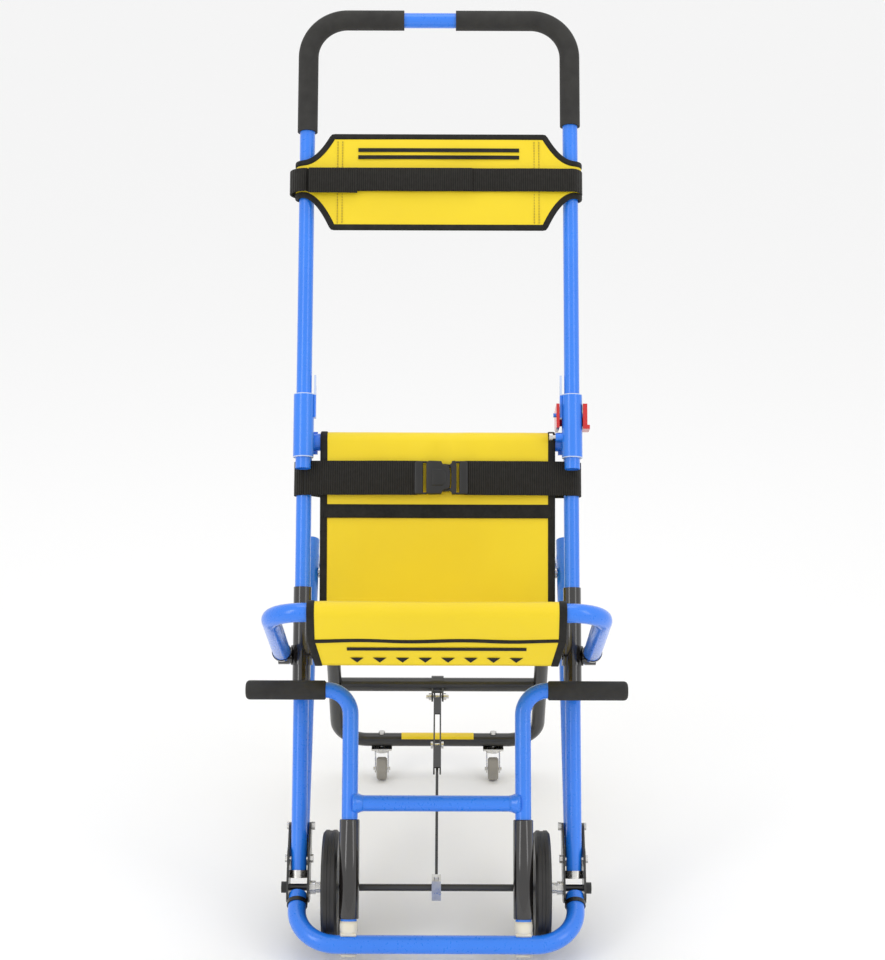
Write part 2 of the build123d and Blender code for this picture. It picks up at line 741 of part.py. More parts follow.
parts = {
    "main_tube_left": main_tube(-1),
    "main_tube_right": main_tube(1),
    "slide_sleeve_left": slide_sleeve(-1),
    "slide_sleeve_right": slide_sleeve(1),
    "back_cross_tube": back_cross_tube(),
    "tube_cover_left": tube_cover(-1),
    "tube_cover_right": tube_cover(1),
    "tube_end_rings": group(both_sides(tube_end_ring)),
    "track_rail_left": track_rail(-1),
    "track_rail_right": track_rail(1),
    "track_belt_left": track_belt(-1),
    "track_belt_right": track_belt(1),
    "upper_pulley_left": belt_pulley(-1, upper_pulley),
    "upper_pulley_right": belt_pulley(1, upper_pulley),
    "lower_pulley_left": belt_pulley(-1, lower_pulley),
    "lower_pulley_right": belt_pulley(1, lower_pulley),
    "pulley_pins": group([pulley_pin(s, a) for s in (-1, 1)
                          for a in (lower_pulley, upper_pulley)]),
    "foot_bar": foot_bar(),
    "foot_bar_rings": group(both_sides(foot_ring)),
    "side_plates": group([side_plate(s, f) for s in (-1, 1) for f in (-1, 1)]),
    "plate_bolts": group([plate_bolt(s, p) for s in (-1, 1) for p in plate_bolt_places]),
    "axle": axle(),
    "axle_bushes": group(both_sides(axle_bush)),
    "axle_caps": group(both_sides(axle_cap)),
    "wheel_hub_left": wheel_hub(-1),
    "wheel_hub_right": wheel_hub(1),
    "tyre_left": tyre(-1),
    "tyre_right": tyre(1),
    "handle_frame": handle_frame(),
    "handle_grip_left": handle_grip(-1),
    "handle_grip_right": handle_grip(1),
    "head_panel": head_panel(),
    "head_strap": head_strap(),
    "latch_lever": latch_lever(),
    "latch_plunger": latch_plunger(),
    "seat_bar": seat_bar(),
    "arm_end_fittings": group(both_sides(arm_end_fitting)),
    "seat_pivot_brackets": group(both_sides(seat_pivot_bracket)),
    "seat_pivot_bolts": group(both_sides(seat_pivot_bolt)),
    "sling_back_panel": sling_back_panel(),
    "sling_seat_panel": sling_seat_panel(),
    "lap_belt": group(lap_belt()),
    "buckle_socket": buckle_socket(),
    "buckle_tongue": buckle_tongue(),
    "kickstand_frame": kickstand_frame(),
    "kickstand_pivot_bolts": group(both_sides(kickstand_pivot_bolt)),
    "kickstand_strip": kickstand_strip(),
    "strut_clevis": strut_clevis(),
    "clevis_bolt": clevis_bolt(),
    "castor_plates": group(both_sides(castor_plate)),
    "castor_fork_left": castor_fork(-1),
    "castor_fork_right": castor_fork(1),
    "castor_wheel_left": castor_wheel(-1),
    "castor_wheel_right": castor_wheel(1),
    "strut_lower": group(strut_lower(), axle_clamp()),
    "strut_upper": strut_upper(),
    "strut_bolt": strut_bolt(),
    "lift_frame": lift_frame(),
    "lift_grips": group(both_sides(lift_grip), both_sides(leg_sleeve)),
    "lift_knuckles": group(both_sides(knuckle)),
}

os.makedirs("parts", exist_ok=True)
for name, shape in parts.items():
    export_step(Pos(0, -floor_origin_y, 0) * shape, f"parts/{name}.step")

boxes = [shape.bounding_box() for shape in parts.values()]
low_y = min(box.min.Y for box in boxes)
high_y = max(box.max.Y for box in boxes)
print("nodes", len(parts), "middle of the depth", round((low_y + high_y) / 2, 3))
print("seat pivot", on_seat(0, 0).Y, on_seat(0, 0).Z)
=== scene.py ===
# %% [markdown]
# # An evacuation stair chair
# The chair is a bent tube frame that leans back on two wheels and two castors. A sling of
# coated cloth hangs in it as the seat. The CAD model gives every tube, wheel and joint,
# so this file gives the metal parts their finishes, and makes the cloth, the webbing and
# the buckle as new meshes. A blank cloth sheet could be simulated, but this sling is
# stretched between two bars, so its shape is worked out as a profile with small folds.

# %% load the frame
import bpy
import bmesh
import json
import math
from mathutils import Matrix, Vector, noise


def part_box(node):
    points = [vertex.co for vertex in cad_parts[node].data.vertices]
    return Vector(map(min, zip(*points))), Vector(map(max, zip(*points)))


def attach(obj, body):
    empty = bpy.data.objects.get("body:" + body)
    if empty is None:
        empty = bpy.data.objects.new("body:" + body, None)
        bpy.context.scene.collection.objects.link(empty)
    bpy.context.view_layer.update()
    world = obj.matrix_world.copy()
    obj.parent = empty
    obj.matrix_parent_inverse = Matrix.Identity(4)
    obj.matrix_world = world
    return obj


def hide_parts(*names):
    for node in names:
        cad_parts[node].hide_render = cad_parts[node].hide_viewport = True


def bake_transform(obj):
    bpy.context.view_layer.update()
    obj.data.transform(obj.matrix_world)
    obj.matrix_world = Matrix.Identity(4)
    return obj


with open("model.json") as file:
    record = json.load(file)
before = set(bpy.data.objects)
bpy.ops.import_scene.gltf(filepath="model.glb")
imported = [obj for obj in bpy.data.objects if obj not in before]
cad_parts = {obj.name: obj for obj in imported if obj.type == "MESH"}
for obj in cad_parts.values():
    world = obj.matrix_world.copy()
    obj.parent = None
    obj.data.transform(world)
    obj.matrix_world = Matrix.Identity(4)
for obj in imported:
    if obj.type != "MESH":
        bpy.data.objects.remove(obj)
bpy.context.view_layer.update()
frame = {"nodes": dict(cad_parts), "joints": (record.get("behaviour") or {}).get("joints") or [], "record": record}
joints = {joint["name"]: joint for joint in frame["joints"]}
nodes = frame["nodes"]

# %% [markdown]
# ## Shader sums
# A surface is easier to read when its maths is written as plain sums. `Wire` wraps one
# output socket, so that `1 - mask` adds its own Math node. `Finish` holds one material
# and makes any other node in one call.


# %% the socket class and the material class
class Wire:
    """One output socket, with the usual operators."""

    def __init__(self, finish, socket):
        self.finish = finish
        self.socket = socket

    def sum(self, operation, *values):
        return self.finish.add("ShaderNodeMath", {"operation": operation}, *values)

    def __add__(self, other):
        return self.sum("ADD", self, other)

    def __sub__(self, other):
        return self.sum("SUBTRACT", self, other)

    def __rsub__(self, other):
        return self.sum("SUBTRACT", other, self)

    def __mul__(self, other):
        return self.sum("MULTIPLY", self, other)

    def wave(self, pitch):
        """A sine along this wire, with one full wave in each pitch."""
        return self.sum("SINE", self * (2 * math.pi / pitch))

    def absolute(self):
        return self.sum("ABSOLUTE", self)

    def power(self, exponent):
        return self.sum("POWER", self, exponent)

    __radd__ = __add__
    __rmul__ = __mul__


class Finish:
    """A material whose shader takes plain numbers, and wires for what varies."""

    def __init__(self, name, **shader):
        self.material = bpy.data.materials.new(name)
        self.material.use_nodes = True
        self.tree = self.material.node_tree
        self.shader = self.tree.nodes["Principled BSDF"]
        self.set(**shader)

    def set(self, **values):
        for key, value in values.items():
            self.feed(self.shader.inputs[key.replace("_", " ")], value)

    def feed(self, target, value):
        if isinstance(value, Wire):
            self.tree.links.new(value.socket, target)
        elif isinstance(value, tuple) and len(value) == 3 and target.type == "RGBA":
            target.default_value = (*value, 1.0)
        else:
            target.default_value = value

    def add(self, kind, settings, *values, out=0, **named):
        node = self.tree.nodes.new(kind)
        for key, value in settings.items():
            setattr(node, key, value)
        for index, value in enumerate(values):
            self.feed(node.inputs[index], value)
        for key, value in named.items():
            self.feed(node.inputs[key.replace("_", " ")], value)
        return Wire(self, node.outputs[out])

    def place(self):
        """The point on the chair, in metres, as X, Y and Z wires."""
        where = self.tree.nodes.new("ShaderNodeTexCoord")
        split = self.tree.nodes.new("ShaderNodeSeparateXYZ")
        self.tree.links.new(where.outputs["Object"], split.inputs[0])
        return [Wire(self, split.outputs[axis]) for axis in range(3)]

    def point(self):
        where = self.tree.nodes.new("ShaderNodeTexCoord")
        return Wire(self, where.outputs["Object"])

    def noise(self, scale, detail=3.0, roughness=0.55):
        return self.add("ShaderNodeTexNoise", {}, Vector=self.point(), Scale=scale,
                        Detail=detail, Roughness=roughness)

    def blend(self, factor, first, second):
        """Mix two colours by a wire that runs from 0 to 1."""
        mix = self.tree.nodes.new("ShaderNodeMix")
        mix.data_type = "RGBA"
        self.feed(mix.inputs[0], factor)
        self.feed(mix.inputs[6], first)
        self.feed(mix.inputs[7], second)
        return Wire(self, mix.outputs[2])

    def range(self, wire, low, high, new_low, new_high):
        return self.add("ShaderNodeMapRange", {}, wire, low, high, new_low, new_high)

    def bump(self, height, strength, distance):
        normal = self.add("ShaderNodeBump", {}, Height=height, Strength=strength,
                          Distance=distance)
        self.set(Normal=normal)


print("shader classes ready")

# %% [markdown]
# ## Powder coat
# The tubes are sprayed with powder and baked. The coat is bright and glossy, with a very
# fine orange peel that softens the long highlights. A clear coat layer on the shader
# gives the sharp white streaks, and a little noise in the bump gives the peel.


# %% blue and black powder coat
def powder_coat(name, light, dark, roughness, coat):
    finish = Finish(name, Roughness=roughness, Coat_Weight=coat, Coat_Roughness=0.12)
    patches = finish.range(finish.noise(9.0), 0.3, 0.7, 0.0, 1.0)
    finish.set(Base_Color=finish.blend(patches, dark, light))
    fine = finish.range(finish.noise(240.0, 2.0), 0.3, 0.7, -0.04, 0.04)
    finish.set(Roughness=fine + roughness)
    finish.bump(finish.noise(420.0, 2.0), 0.07, 0.0005)
    return finish.material


light_blue, dark_blue = (0.016, 0.205, 0.860), (0.012, 0.180, 0.790)
blue = powder_coat("blue_powder_coat", light_blue, dark_blue, 0.30, 0.5)
black_paint = powder_coat("black_powder_coat", (0.020, 0.020, 0.020), (0.012, 0.012, 0.012),
                          0.36, 0.4)
print("powder coats made")

# %% [markdown]
# ## Foam, plastic and rubber
# The grips are closed-cell foam: matte, with fine pores and a faint brownish grey. The
# moulded plastics differ in gloss and grain. The tyres are smooth and the castor tread
# is a dull grey with scuffs.


# %% one function for the moulded finishes
def moulded(name, light, dark, roughness, grain, depth, coat=0.0):
    finish = Finish(name, Coat_Weight=coat, Coat_Roughness=0.08)
    cloud = finish.range(finish.noise(30.0, 4.0), 0.3, 0.7, 0.0, 1.0)
    finish.set(Base_Color=finish.blend(cloud, dark, light))
    scuff = finish.range(finish.noise(75.0, 5.0), 0.35, 0.75, -0.05, 0.08)
    finish.set(Roughness=scuff + roughness)
    finish.bump(finish.noise(grain, 3.0), 0.5, depth)
    return finish.material


foam = moulded("grip_foam", (0.026, 0.025, 0.022), (0.017, 0.016, 0.015), 0.78, 900.0, 0.0005)
gloss_black = moulded("gloss_black_sleeve", (0.014, 0.012, 0.011), (0.008, 0.007, 0.007), 0.16,
                      120.0, 0.00004, 0.7)
black_plastic = moulded("black_moulded_plastic", (0.012, 0.0115, 0.011), (0.007, 0.007, 0.007),
                        0.34, 700.0, 0.0001)
wheel_rubber = moulded("wheel_rubber", (0.019, 0.018, 0.018), (0.011, 0.011, 0.011), 0.50,
                       300.0, 0.0002)
grey_rubber = moulded("castor_tread", (0.34, 0.32, 0.285), (0.27, 0.255, 0.225), 0.58, 400.0,
                      0.0002)
red_plastic = moulded("red_latch_plastic", (0.62, 0.010, 0.012), (0.50, 0.006, 0.008), 0.26,
                      200.0, 0.00006, 0.4)
nylon = moulded("natural_nylon", (0.78, 0.74, 0.63), (0.68, 0.63, 0.50), 0.42, 350.0, 0.0001)
yellow_label = moulded("yellow_strip", (0.86, 0.63, 0.02), (0.80, 0.57, 0.015), 0.34, 300.0,
                       0.00005)
print("moulded finishes made")

# %% [markdown]
# ## Bright zinc
# Bolts, castor forks and bushes are zinc plated. Plating is a metal whose shine is uneven,
# so its roughness follows a noise, and a fine noise in the bump roughens its face.


# %% zinc plate
dull_zinc, bright_zinc = (0.55, 0.54, 0.52), (0.78, 0.77, 0.74)


def zinc_plate():
    finish = Finish("zinc_plate", Metallic=1.0)
    cloud = finish.range(finish.noise(60.0, 4.0), 0.3, 0.7, 0.0, 1.0)
    finish.set(Base_Color=finish.blend(cloud, dull_zinc, bright_zinc))
    finish.set(Roughness=finish.range(finish.noise(180.0, 3.0), 0.3, 0.7, 0.18, 0.36))
    finish.bump(finish.noise(500.0, 2.0), 0.15, 0.0002)
    return finish.material


zinc = zinc_plate()
print("zinc made")

# %% [markdown]
# ## Ribbed belt rubber
# The stair belts grip with ribs across their width. The ribs are too small to be worth
# meshing on a part that is mostly hidden, so a sine along the rail feeds the bump.


# %% belt rubber
def ribbed_rubber():
    finish = Finish("belt_rubber", Roughness=0.62)
    cloud = finish.range(finish.noise(25.0, 4.0), 0.3, 0.7, 0.0, 1.0)
    finish.set(Base_Color=finish.blend(cloud, (0.012, 0.012, 0.012), (0.026, 0.025, 0.024)))
    _, y, z = finish.place()
    rib_pitch = 0.008
    ribs = (y + z).wave(rib_pitch * math.sqrt(2))
    finish.bump(ribs, 0.8, 0.0012)
    return finish.material


belt_rubber = ribbed_rubber()
print("belt rubber made")

# %% [markdown]
# ## Coated cloth and webbing
# The seat is polyester cloth with a smooth yellow coating. It has a soft sheen, slight
# shading where it has been folded, and a weave so fine that it only breaks the
# highlight. The straps are black webbing, with ribs across their length.


# %% coated cloth
def coated_cloth():
    finish = Finish("yellow_coated_cloth", Sheen_Weight=0.05, Coat_Weight=0.08,
                    Coat_Roughness=0.35, IOR=1.46)
    x, _, z = finish.place()
    cloud = finish.range(finish.noise(5.0, 3.0), 0.32, 0.68, 0.0, 1.0)
    colour = finish.blend(cloud, (0.82, 0.600, 0.003), (0.88, 0.665, 0.004))
    finish.set(Base_Color=colour)
    finish.set(Roughness=finish.range(finish.noise(40.0, 4.0), 0.3, 0.7, 0.38, 0.50))
    thread = 0.0011
    weave = x.wave(thread) * z.wave(thread)
    folds = finish.noise(16.0, 2.0) * 6.0
    finish.bump(weave + folds, 0.22, 0.0009)
    return finish.material


def ribbed_webbing():
    finish = Finish("black_webbing", Sheen_Weight=0.06, Sheen_Roughness=0.5,
                    Specular_IOR_Level=0.3)
    x, _, z = finish.place()
    rib_pitch, yarn_pitch = 0.0032, 0.0014
    ribs = (x.wave(rib_pitch) * 0.5 + 0.5).power(0.7)
    yarn = z.wave(yarn_pitch) * 0.12
    finish.set(Base_Color=finish.blend(ribs, (0.0030, 0.0028, 0.0022), (0.020, 0.018, 0.014)))
    finish.set(Roughness=finish.range(finish.noise(150.0), 0.3, 0.7, 0.66, 0.86))
    finish.bump(ribs + yarn + finish.noise(700.0) * 0.25, 0.9, 0.0010)
    return finish.material


def edge_tape():
    finish = Finish("black_edge_tape", Sheen_Weight=0.05, Sheen_Roughness=0.5,
                    Specular_IOR_Level=0.3)
    cloud = finish.range(finish.noise(60.0, 4.0), 0.3, 0.7, 0.0, 1.0)
    finish.set(Base_Color=finish.blend(cloud, (0.007, 0.0065, 0.005), (0.015, 0.014, 0.011)))
    finish.set(Roughness=finish.range(finish.noise(220.0), 0.3, 0.7, 0.62, 0.82))
    x, _, z = finish.place()
    grain_pitch = 0.0016
    grain = (x + z).wave(grain_pitch) * 0.5
    finish.bump(grain + finish.noise(500.0), 0.6, 0.0005)
    return finish.material


def thread_finish():
    finish = Finish("stitch_thread", Sheen_Weight=0.1)
    cloud = finish.range(finish.noise(300.0), 0.3, 0.7, 0.0, 1.0)
    finish.set(Base_Color=finish.blend(cloud, (0.30, 0.22, 0.015), (0.46, 0.34, 0.02)))
    finish.set(Roughness=finish.range(cloud, 0.0, 1.0, 0.5, 0.7))
    return finish.material


yellow_cloth = coated_cloth()
webbing = ribbed_webbing()
tape = edge_tape()
thread = thread_finish()
print("cloth, webbing, tape and thread made")

# %% [markdown]
# ## Finishes on the CAD parts
# Every CAD node already names a slot in the record. One table from slot to material
# gives each tube, wheel and bolt its finish.

# %% give the CAD parts their finishes
finishes = {
    "blue_paint": blue, "black_paint": black_paint, "zinc": zinc, "foam": foam,
    "gloss_black": gloss_black, "black_plastic": black_plastic, "belt_rubber": belt_rubber,
    "wheel_rubber": wheel_rubber, "grey_rubber": grey_rubber, "yellow_cloth": yellow_cloth,
    "webbing": webbing, "red_plastic": red_plastic, "nylon": nylon,
    "yellow_label": yellow_label,
}
slot_of = {part["node"]: part["material_slot"] for part in frame["record"]["subparts"]}
for name, node in nodes.items():
    material = finishes[slot_of[name]]
    if not node.material_slots:
        node.data.materials.append(material)
    for holder in node.material_slots:
        holder.material = material
print("finished", len(nodes), "nodes")

# %% [markdown]
# ## The strut and its clamp
# The strut is black, but the clamp that holds it on the axle is bright zinc. Both belong
# to one CAD node, so its finish changes with the distance from the axle.


# %% black strut with a zinc clamp
def strut_finish():
    finish = Finish("strut_black_and_zinc", Coat_Roughness=0.12)
    _, y, _ = finish.place()
    reach = (y - joints["wheel_spin_left"]["pos_m"][1]).absolute()
    clamp_end, strut_start = 0.0120, 0.0126
    clamp = finish.range(reach, clamp_end, strut_start, 1.0, 0.0)
    cloud = finish.range(finish.noise(60.0), 0.3, 0.7, 0.0, 1.0)
    plated = finish.blend(cloud, dull_zinc, bright_zinc)
    finish.set(Base_Color=finish.blend(clamp, (0.016, 0.016, 0.016), plated), Metallic=clamp)
    finish.set(Roughness=finish.range(finish.noise(180.0), 0.3, 0.7, 0.26, 0.40))
    finish.bump(finish.noise(420.0, 2.0), 0.10, 0.0004)
    return finish.material


for holder in nodes["strut_lower"].material_slots:
    holder.material = strut_finish()
print("strut finished")

# %% [markdown]
# ## The two slanted planes
# The handle slides along the main frame, so its joint axis is the frame's direction.
# Cloth and straps lie in that slanted plane, so one function turns X, a distance up the
# frame and a distance in front of it into a point. The seat pivots are its zero.

# %% points on the leaning frame
along_frame = -Vector(joints["handle_slide"]["axis"])
seat_pivot = Vector(joints["seat_fold"]["pos_m"])
out_front = Vector((0, -along_frame.z, along_frame.y))


def frame_point(x, up, front):
    return Vector((x, seat_pivot.y, seat_pivot.z)) + along_frame * up + out_front * front


tube_radius = 0.0111
bar_radius = 0.0127
bar_low, bar_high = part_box("seat_bar")
bar_y = bar_low[1] + bar_radius
bar_z = bar_high[2] - bar_radius
tube_x = (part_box("main_tube_right")[0][0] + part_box("main_tube_right")[1][0]) / 2
cross_up = 0.310
handle_front = 0.026
print("seat bar at", round(bar_y, 4), round(bar_z, 4), "tubes at", round(tube_x, 4))

# %% [markdown]
# ## Painted highlights on the sleeve ends
# The sleeves that hold the sliding handle show a thin pale line round each end: a painted
# highlight where light would catch each rim, whose mask also makes the rims rougher. The
# line is a place on the sleeve and not a piece, so it is a mask in the material, worked out
# from the distance up the frame.


# %% sleeves with painted highlights at their ends
def sleeve_finish(bottom, top):
    finish = Finish("blue_with_painted_end_highlights", Coat_Weight=0.5, Coat_Roughness=0.12)
    _, y, z = finish.place()
    up = (y - seat_pivot.y) * along_frame.y + (z - seat_pivot.z) * along_frame.z
    patches = finish.range(finish.noise(9.0), 0.3, 0.7, 0.0, 1.0)
    coat = finish.blend(patches, dark_blue, light_blue)
    middle_up = (bottom + top) / 2
    reach = (up - middle_up).absolute() + (finish.noise(260.0) - 0.5) * 0.0006
    half = (top - bottom) / 2
    # painted highlight: a pale bluish white band round each sleeve end, where light catches the rim
    end_highlight = finish.range(reach, half - 0.0015, half - 0.0009, 0.0, 0.85)
    finish.set(Base_Color=finish.blend(end_highlight, coat, (0.62, 0.70, 0.82)))
    finish.set(Roughness=finish.range(end_highlight, 0.0, 1.0, 0.30, 0.55))
    finish.bump(finish.noise(420.0, 2.0), 0.07, 0.0005)
    return finish.material


sleeve_bottom, sleeve_top = 0.283, 0.376
sleeve_blue = sleeve_finish(sleeve_bottom, sleeve_top)
for name in ("slide_sleeve_left", "slide_sleeve_right"):
    for holder in nodes[name].material_slots:
        holder.material = sleeve_blue
for up in (sleeve_bottom, sleeve_top):
    print("sleeve end at height", round(frame_point(0, up, handle_front).z, 3))

# %% [markdown]
# ## A mesh from rows of points
# Cloth, tape and webbing are all long strips. `strip` takes rows of points and joins
# them into one surface, and `band` sweeps a thin rounded section along a path, which is
# how webbing and edge tape look.


# %% strips and bands
def new_piece(name, verts, faces, material, smooth=True):
    mesh = bpy.data.meshes.new(name)
    mesh.from_pydata([tuple(v) for v in verts], [], faces)
    mesh.validate()
    work = bmesh.new()
    work.from_mesh(mesh)
    bmesh.ops.recalc_face_normals(work, faces=work.faces)
    work.to_mesh(mesh)
    work.free()
    piece = bpy.data.objects.new(name, mesh)
    bpy.context.scene.collection.objects.link(piece)
    mesh.materials.append(material)
    for face in mesh.polygons:
        face.use_smooth = smooth
    return piece


def grid_faces(rows, columns, loop=False):
    faces = []
    for r in range(rows - 1):
        for c in range(columns if loop else columns - 1):
            after = (c + 1) % columns
            faces.append((r * columns + c, r * columns + after,
                          (r + 1) * columns + after, (r + 1) * columns + c))
    return faces


def sheet_piece(name, rows, material, thickness, offset=0.0):
    count = len(rows[0])
    piece = new_piece(name, [p for row in rows for p in row],
                      grid_faces(len(rows), count), material)
    solid = piece.modifiers.new("thickness", "SOLIDIFY")
    solid.thickness = thickness
    solid.offset = offset
    return piece


def band(name, path, across, width, thickness, material):
    """A flat strap along a path. across gives the width's direction at each point."""
    section = []
    corner = min(thickness, width) * 0.45
    for sx, sy in ((1, 1), (-1, 1), (-1, -1), (1, -1)):
        centre_angle = math.atan2(sy, sx)
        for k in (-1, 0, 1):
            a = centre_angle + k * math.pi / 4
            section.append((sx * (width / 2 - corner) + corner * math.cos(a),
                            sy * (thickness / 2 - corner) + corner * math.sin(a)))
    verts = []
    for index, point in enumerate(path):
        before = path[max(index - 1, 0)]
        after = path[min(index + 1, len(path) - 1)]
        side = across[index].normalized()
        outward = (after - before).normalized().cross(side).normalized()
        for w, t in section:
            verts.append(point + side * w + outward * t)
    faces = grid_faces(len(path), len(section), loop=True)
    faces.append(tuple(range(len(section))))
    last = (len(path) - 1) * len(section)
    faces.append(tuple(range(last, last + len(section))))
    return new_piece(name, verts, faces, material)


def arc(centre, radius, start, end, steps):
    """Points (front, up) round a centre, with angles in degrees from the front."""
    points = []
    for k in range(steps + 1):
        a = math.radians(start + (end - start) * k / steps)
        points.append((centre[0] + radius * math.cos(a), centre[1] + radius * math.sin(a)))
    return points


print("strip tools ready")

# %% [markdown]
# ## The sling's profile
# Seen from the side, the sling loops over the back cross tube, drops from its front,
# turns at the crease near the seat pivots, runs up to the seat bar, rolls over it and
# hangs down as a flap. It is one list of side-view points, and each point becomes a row
# of the cloth, so a few rows have names.

# %% the side view of the sling
sling_half = 0.169
cloth_gap = 0.0016
hem_steps, loop_steps, back_steps = 6, 20, 28
back_foot_up = 0.052
loop_row = hem_steps + loop_steps
crease_row = 62


def side_point(front, up):
    point = frame_point(0, up, front)
    return (point.y, point.z)


def sling_profile():
    wrap = bar_radius + cloth_gap
    hem = [side_point(-wrap, cross_up - 0.030 + 0.005 * k) for k in range(hem_steps)]
    loop = [side_point(f, u) for f, u in arc((0, cross_up), wrap, 180, 0, loop_steps)]
    back = [side_point(wrap - 2 * wrap * k / back_steps,
                       cross_up + (back_foot_up - cross_up) * k / back_steps)
            for k in range(1, back_steps + 1)]
    seat_dir = Vector((bar_y - seat_pivot.y, bar_z - seat_pivot.z)).normalized()
    above = Vector((-seat_dir.y, seat_dir.x)) * -1
    pivot = Vector((seat_pivot.y, seat_pivot.z))
    start = pivot + seat_dir * 0.040 + above * 0.001
    end = Vector((bar_y, bar_z)) + above * wrap
    last = Vector(back[-1])
    crease = []
    low = pivot + Vector((0.008, -0.022))
    for k in range(1, 12):
        t = k / 12
        crease.append(tuple(last * (1 - t) ** 2 + low * 2 * t * (1 - t) + start * t * t))
    seat = [tuple(start + (end - start) * k / 26) for k in range(27)]
    top_angle = math.degrees(math.atan2(above.y, above.x))
    roll = []
    for k in range(1, 11):
        a = math.radians(top_angle + (186 - top_angle) * k / 10)
        roll.append((bar_y + wrap * math.cos(a), bar_z + wrap * math.sin(a)))
    front = [(bar_y - 0.0142 + 0.006 * (k / 8) ** 1.4, bar_z - 0.0015 - 0.0345 * k / 8)
             for k in range(1, 9)]
    flap = [(bar_y - 0.0082 + 0.012 * k / 10, bar_z - 0.036 - 0.039 * k / 10)
            for k in range(1, 11)]
    hanging = roll + front + flap
    return hem + loop + back + crease + seat + hanging, len(hanging), len(flap)


profile, hanging, flap_rows = sling_profile()
lengths = [math.dist(profile[i], profile[i + 1]) for i in range(len(profile) - 1)]
print("sling profile", len(profile), "points, length", round(sum(lengths), 4))

# %% [markdown]
# ## The sling cloth
# Each profile point becomes a row across the chair. The cloth hangs a little between its
# stiff taped edges, so the middle of each row is moved off the profile, most in the
# middle of the back and of the seat. Small folds come from smooth noise, and there are a
# few dents where the top is pulled over the cross tube.


# %% rows of the sling
def half_width(row):
    drop = max(0, row - (len(profile) - 1 - flap_rows)) / flap_rows
    return sling_half - 0.009 * drop


def row_normal(row):
    before = profile[max(row - 1, 0)]
    after = profile[min(row + 1, len(profile) - 1)]
    run = Vector((0, after[0] - before[0], after[1] - before[1])).normalized()
    return run.cross(Vector((1, 0, 0)))


def sling_sag(row, x):
    """How far the cloth hangs off its profile, most in the middle of the back and seat."""
    seat_end = len(profile) - hanging
    slack = math.cos(math.pi * x / (2 * sling_half))
    if row <= loop_row:
        return 0.0
    if row <= crease_row:
        return 0.004 * slack * math.sin(math.pi * (row - loop_row) / (crease_row - loop_row))
    if row <= seat_end:
        return 0.007 * slack * math.sin(math.pi * (row - crease_row) / (seat_end - crease_row))
    return 0.0


def sling_rows(columns=72):
    rows = []
    pull_row = loop_row + 2
    for row, (y, z) in enumerate(profile):
        normal = row_normal(row)
        line = []
        for c in range(columns + 1):
            x = half_width(row) * (2 * c / columns - 1)
            fold = noise.noise(Vector((x * 9, row * 0.11, 0.3))) * 0.0016
            fold += noise.noise(Vector((x * 30, row * 0.05, 4.0))) * 0.0006
            pull = math.exp(-((x / 0.050) ** 2)) * math.exp(-(((row - pull_row) / 5) ** 2))
            fold += pull * 0.0018 * math.cos(x * 130)
            edge = 1 - abs(x / sling_half) ** 6
            down = sling_sag(row, x)
            keep = 0.30 if row <= loop_row or row > len(profile) - hanging else 1.0
            line.append(Vector((x, y, z)) - normal * (down + fold * edge * keep))
        rows.append(line)
    return rows


sling = sheet_piece("sling_cloth", sling_rows(), yellow_cloth, 0.0012)
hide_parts("sling_back_panel", "sling_seat_panel")
blend_from = tuple(frame_point(0, 0.070, -0.014))
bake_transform(sling)
print("sling rows", len(profile))

# %% [markdown]
# ## Taped edges, the dark band and the seam
# The raw edges are bound in black tape. The same tape makes the dark band across the
# back and the seam under the roll, so all of it is swept with `band`.


# %% sling tapes
def edge_path(side, first, last, inset):
    path = []
    for row in range(first, last):
        y, z = profile[row]
        path.append(Vector((side * (half_width(row) - inset), y, z)))
    return path


across_x = Vector((1, 0, 0))
for side, word in ((-1, "left"), (1, "right")):
    path = edge_path(side, 0, len(profile), 0.0040)
    edge = band(f"sling_edge_{word}", path, [across_x] * len(path), 0.0105, 0.0038, tape)
    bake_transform(edge)

band_up = 0.209
band_row = loop_row + round(back_steps * (cross_up - band_up) / (cross_up - back_foot_up))
path = [point + row_normal(band_row) * 0.0016 for point in sling_rows()[band_row][1:-1]]
dark_band = band("sling_back_band", path, [along_frame] * len(path), 0.0200, 0.0022, tape)
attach(dark_band, "frame")

seam_row = len(profile) - 1 - flap_rows
seam_y, seam_z = profile[seam_row]
path = [Vector((x / 40 * sling_half, seam_y - 0.0010, seam_z + 0.0008 * math.sin(x / 5)))
        for x in range(-40, 41)]
seam = band("sling_front_seam", path, [Vector((0, 0, 1))] * len(path), 0.0050, 0.0024, tape)
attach(seam, "seat")
print("tapes on")

# %% [markdown]
# ## Plain printed marks
# The real cloth carries printing. A plain one takes its place here: two dark bars on the
# head panel, and a dark bar over a row of triangles on the flap. Each mark is a thin
# sheet just proud of the cloth.


# %% marks on the flap
def flap_point(x, share):
    first, last = profile[seam_row + 1], profile[-1]
    y = first[0] + (last[0] - first[0]) * share
    z = first[1] + (last[1] - first[1]) * share
    return Vector((x, y, z)) + Vector((0, -0.0014, -0.0006))


def printed(name, outlines, place, body):
    verts, faces = [], []
    for outline in outlines:
        first = len(verts)
        verts += [place(x, share) for x, share in outline]
        faces.append(tuple(range(first, first + len(outline))))
    mark = new_piece(name, verts, faces, tape, smooth=False)
    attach(mark, body)
    return mark


flap_marks = [[(-0.118, 0.16), (0.118, 0.16), (0.118, 0.30), (-0.118, 0.30)]]
for k in range(8):
    x = -0.105 + k * 0.030
    flap_marks.append([(x - 0.009, 0.62), (x + 0.009, 0.62), (x, 0.84)])
printed("flap_print", flap_marks, flap_point, "seat")
print("flap marks", len(flap_marks))

# %% [markdown]
# ## The head panel
# The head panel is a padded piece of the same cloth. Its ends narrow in a concave curve
# and wrap round the handle tubes. The panel is laid out flat, and the last part of each
# end is bent round the tube. It swells by a few millimetres towards its middle.

